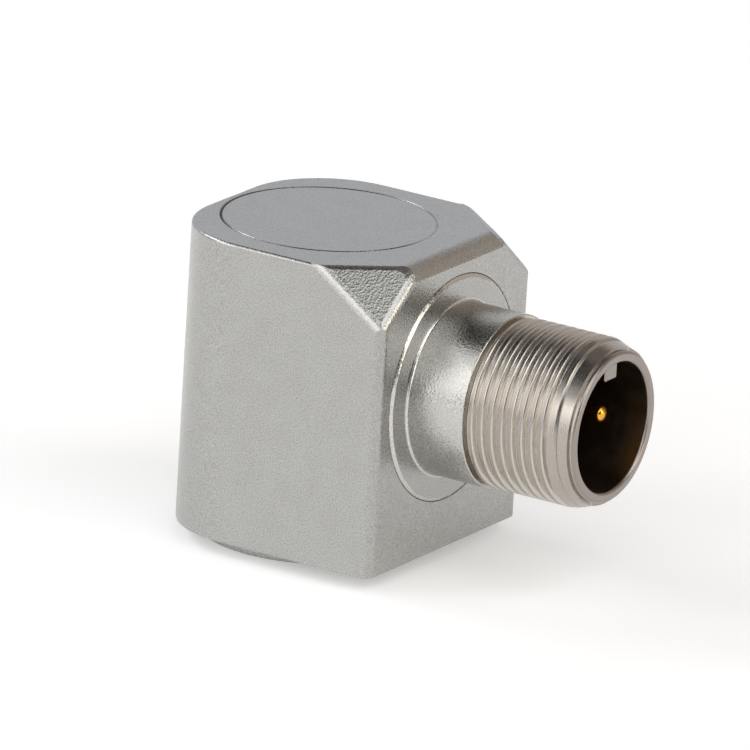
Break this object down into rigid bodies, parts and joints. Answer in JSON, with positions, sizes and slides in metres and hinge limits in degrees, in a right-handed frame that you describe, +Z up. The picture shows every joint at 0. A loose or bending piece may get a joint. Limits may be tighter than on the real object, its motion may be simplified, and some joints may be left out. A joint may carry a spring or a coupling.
{
  "type": "vibration sensor",
  "caption": "Side-exit industrial vibration sensor: a stainless block with rounded back, cut top corners and a welded lid, and a threaded connector on its front face.",
  "frame": {"origin": "on the axis of the tapped mounting hole, at the mounting face below the boss", "axes": "+Z up along the mounting axis, +X out through the connector, +Y to the left seen from behind the connector"},
  "size_m": [0.0422, 0.0252, 0.0297],
  "materials": {
    "housing_steel": "bead-blasted stainless steel",
    "turned_steel": "turned stainless steel",
    "seal_glass": "dark fused glass",
    "contact_gold": "gold plate",
    "alumina": "ground ceramic",
    "element_metal": "turned steel",
    "piezo_ceramic": "poled ceramic with fired electrodes",
    "mass_metal": "turned heavy alloy",
    "shield_metal": "nickel plate",
    "standoff_plastic": "machined plastic",
    "board_laminate": "solder-masked laminate",
    "chip_black": "moulded epoxy",
    "capacitor_yellow": "moulded epoxy",
    "tinned_wire": "tinned copper",
    "lead_red": "extruded insulation",
    "lead_white": "extruded insulation",
    "sleeve_black": "heat-shrink tube"
  },
  "bodies": {
    "root": {"housing": "housing_steel", "top_lid": "housing_steel", "connector_shell": "turned_steel", "glass_seal": "seal_glass", "signal_pin": "contact_gold", "common_pin": "contact_gold", "isolation_disc": "alumina", "element_base": "element_metal", "piezo_ring": "piezo_ceramic", "seismic_mass": "mass_metal", "shield_can": "shield_metal", "board_standoff": "standoff_plastic", "circuit_board": "board_laminate", "amplifier_chip": "chip_black", "chip_capacitors": "capacitor_yellow", "chip_resistors": "chip_black", "element_lead": "tinned_wire", "signal_lead": "lead_red", "common_lead": "lead_white", "lead_sleeves": "sleeve_black"}
  },
  "joints": []
}
